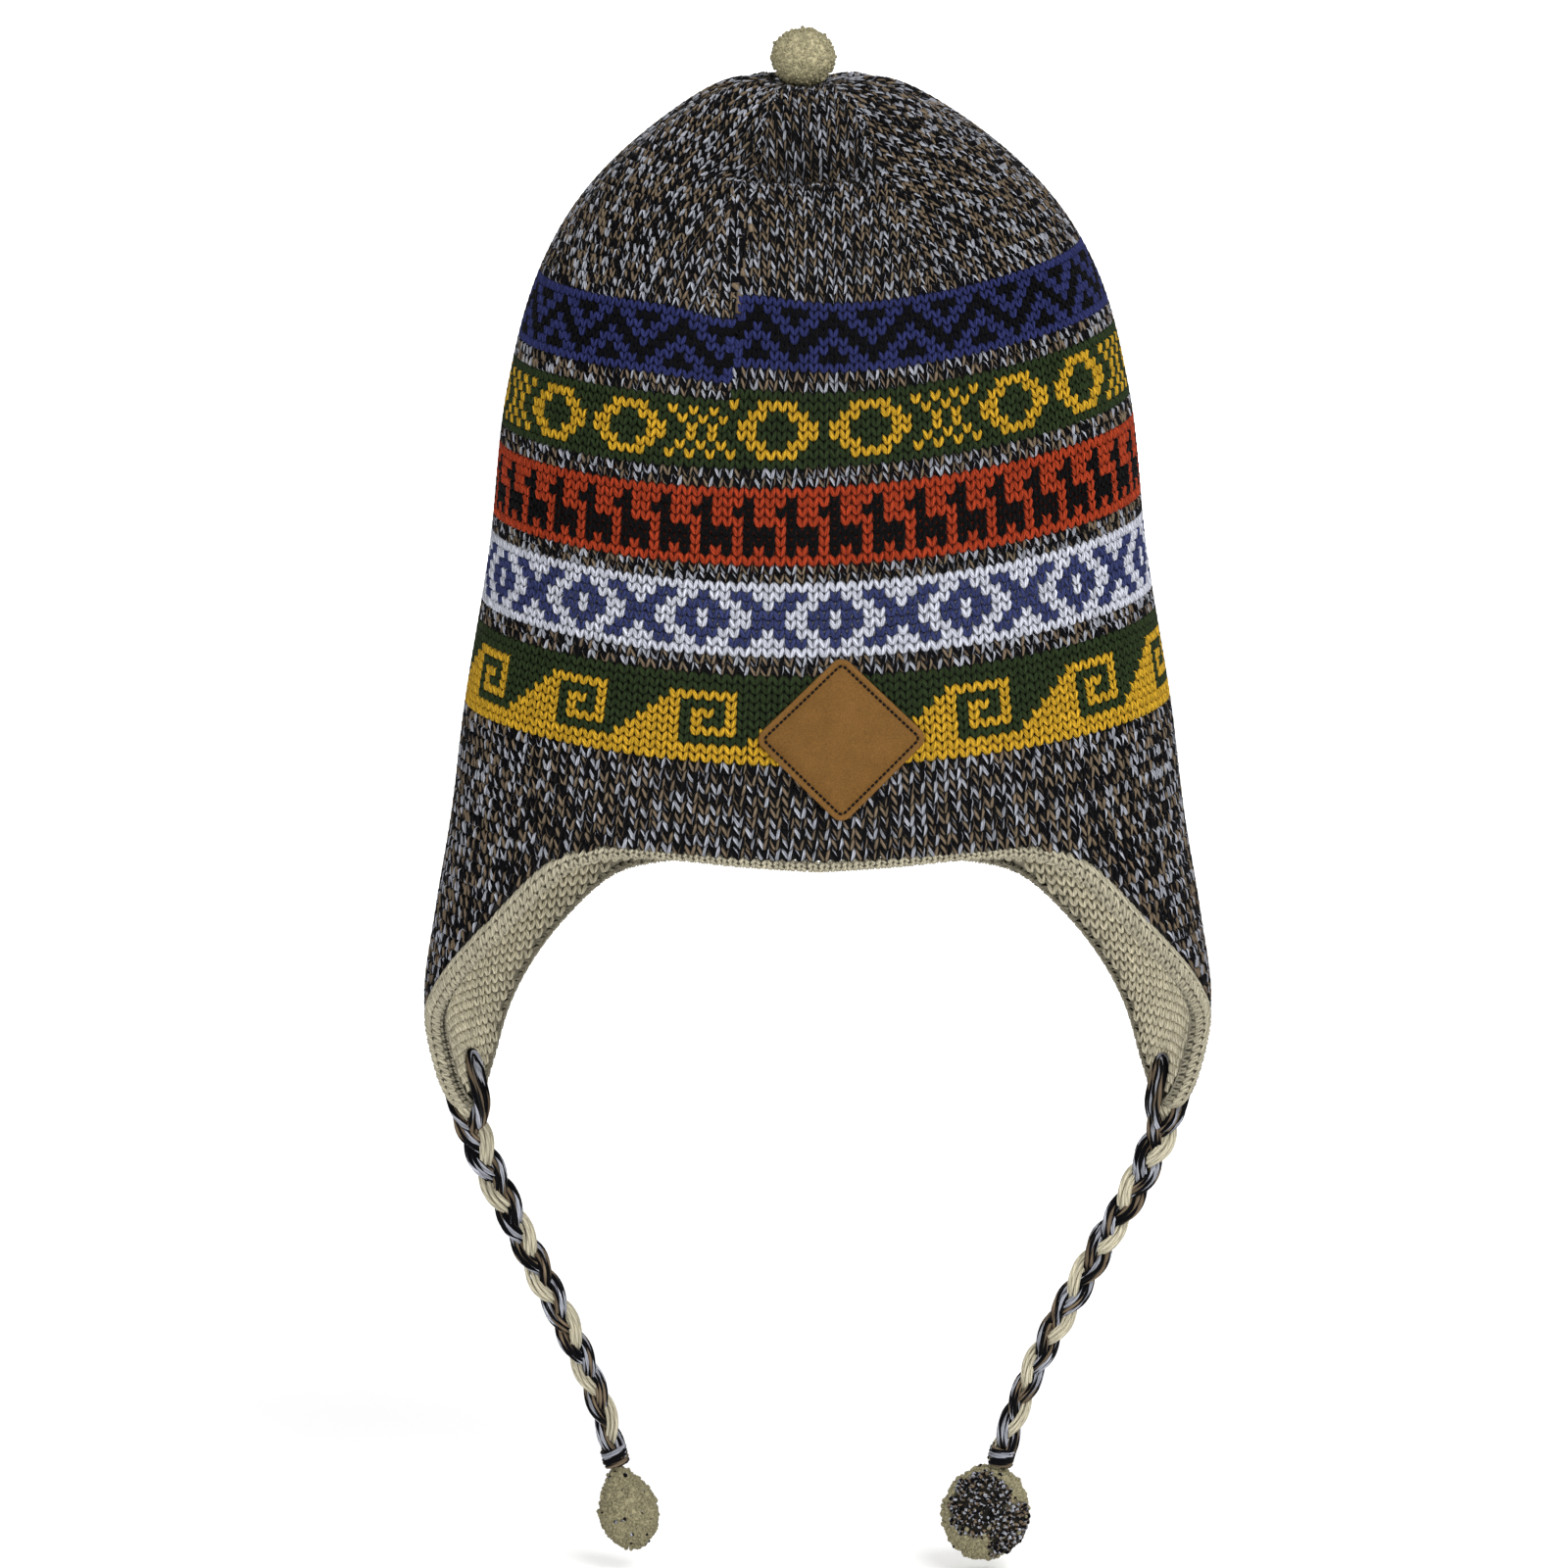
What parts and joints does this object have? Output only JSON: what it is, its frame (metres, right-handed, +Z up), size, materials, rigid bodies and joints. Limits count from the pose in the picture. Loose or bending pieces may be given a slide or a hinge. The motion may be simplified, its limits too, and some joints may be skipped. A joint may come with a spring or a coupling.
{
  "type": "chullo hat",
  "caption": "Lined knitted hat with ear flaps, patterned colour bands, a rolled rim, a leather patch, a crown pompom and braided ties that end in pompoms.",
  "frame": {"origin": "middle of the head opening, level with the edge of the knit at the brow", "axes": "+Z up towards the crown, -Y out of the front, +X to the right as seen from the front"},
  "size_m": [0.2406, 0.1663, 0.48],
  "materials": {
    "outer_knit": "wool knit, marled yarn with colour bands",
    "cream_knit": "plain cream wool knit",
    "leather": "tan leather with a fine grain",
    "pompom_yarn": "cut cream wool yarn",
    "tie_yarn": "braided wool yarn, marl and cream strands"
  },
  "bodies": {
    "root": {"outer_knit": "outer_knit", "lining_knit": "cream_knit", "rim_roll": "cream_knit", "leather_patch": "leather", "crown_pompom": "pompom_yarn", "tie_braid_left": "tie_yarn", "tie_pompom_left": "pompom_yarn", "tie_braid_right": "tie_yarn", "tie_pompom_right": "pompom_yarn"}
  },
  "joints": []
}
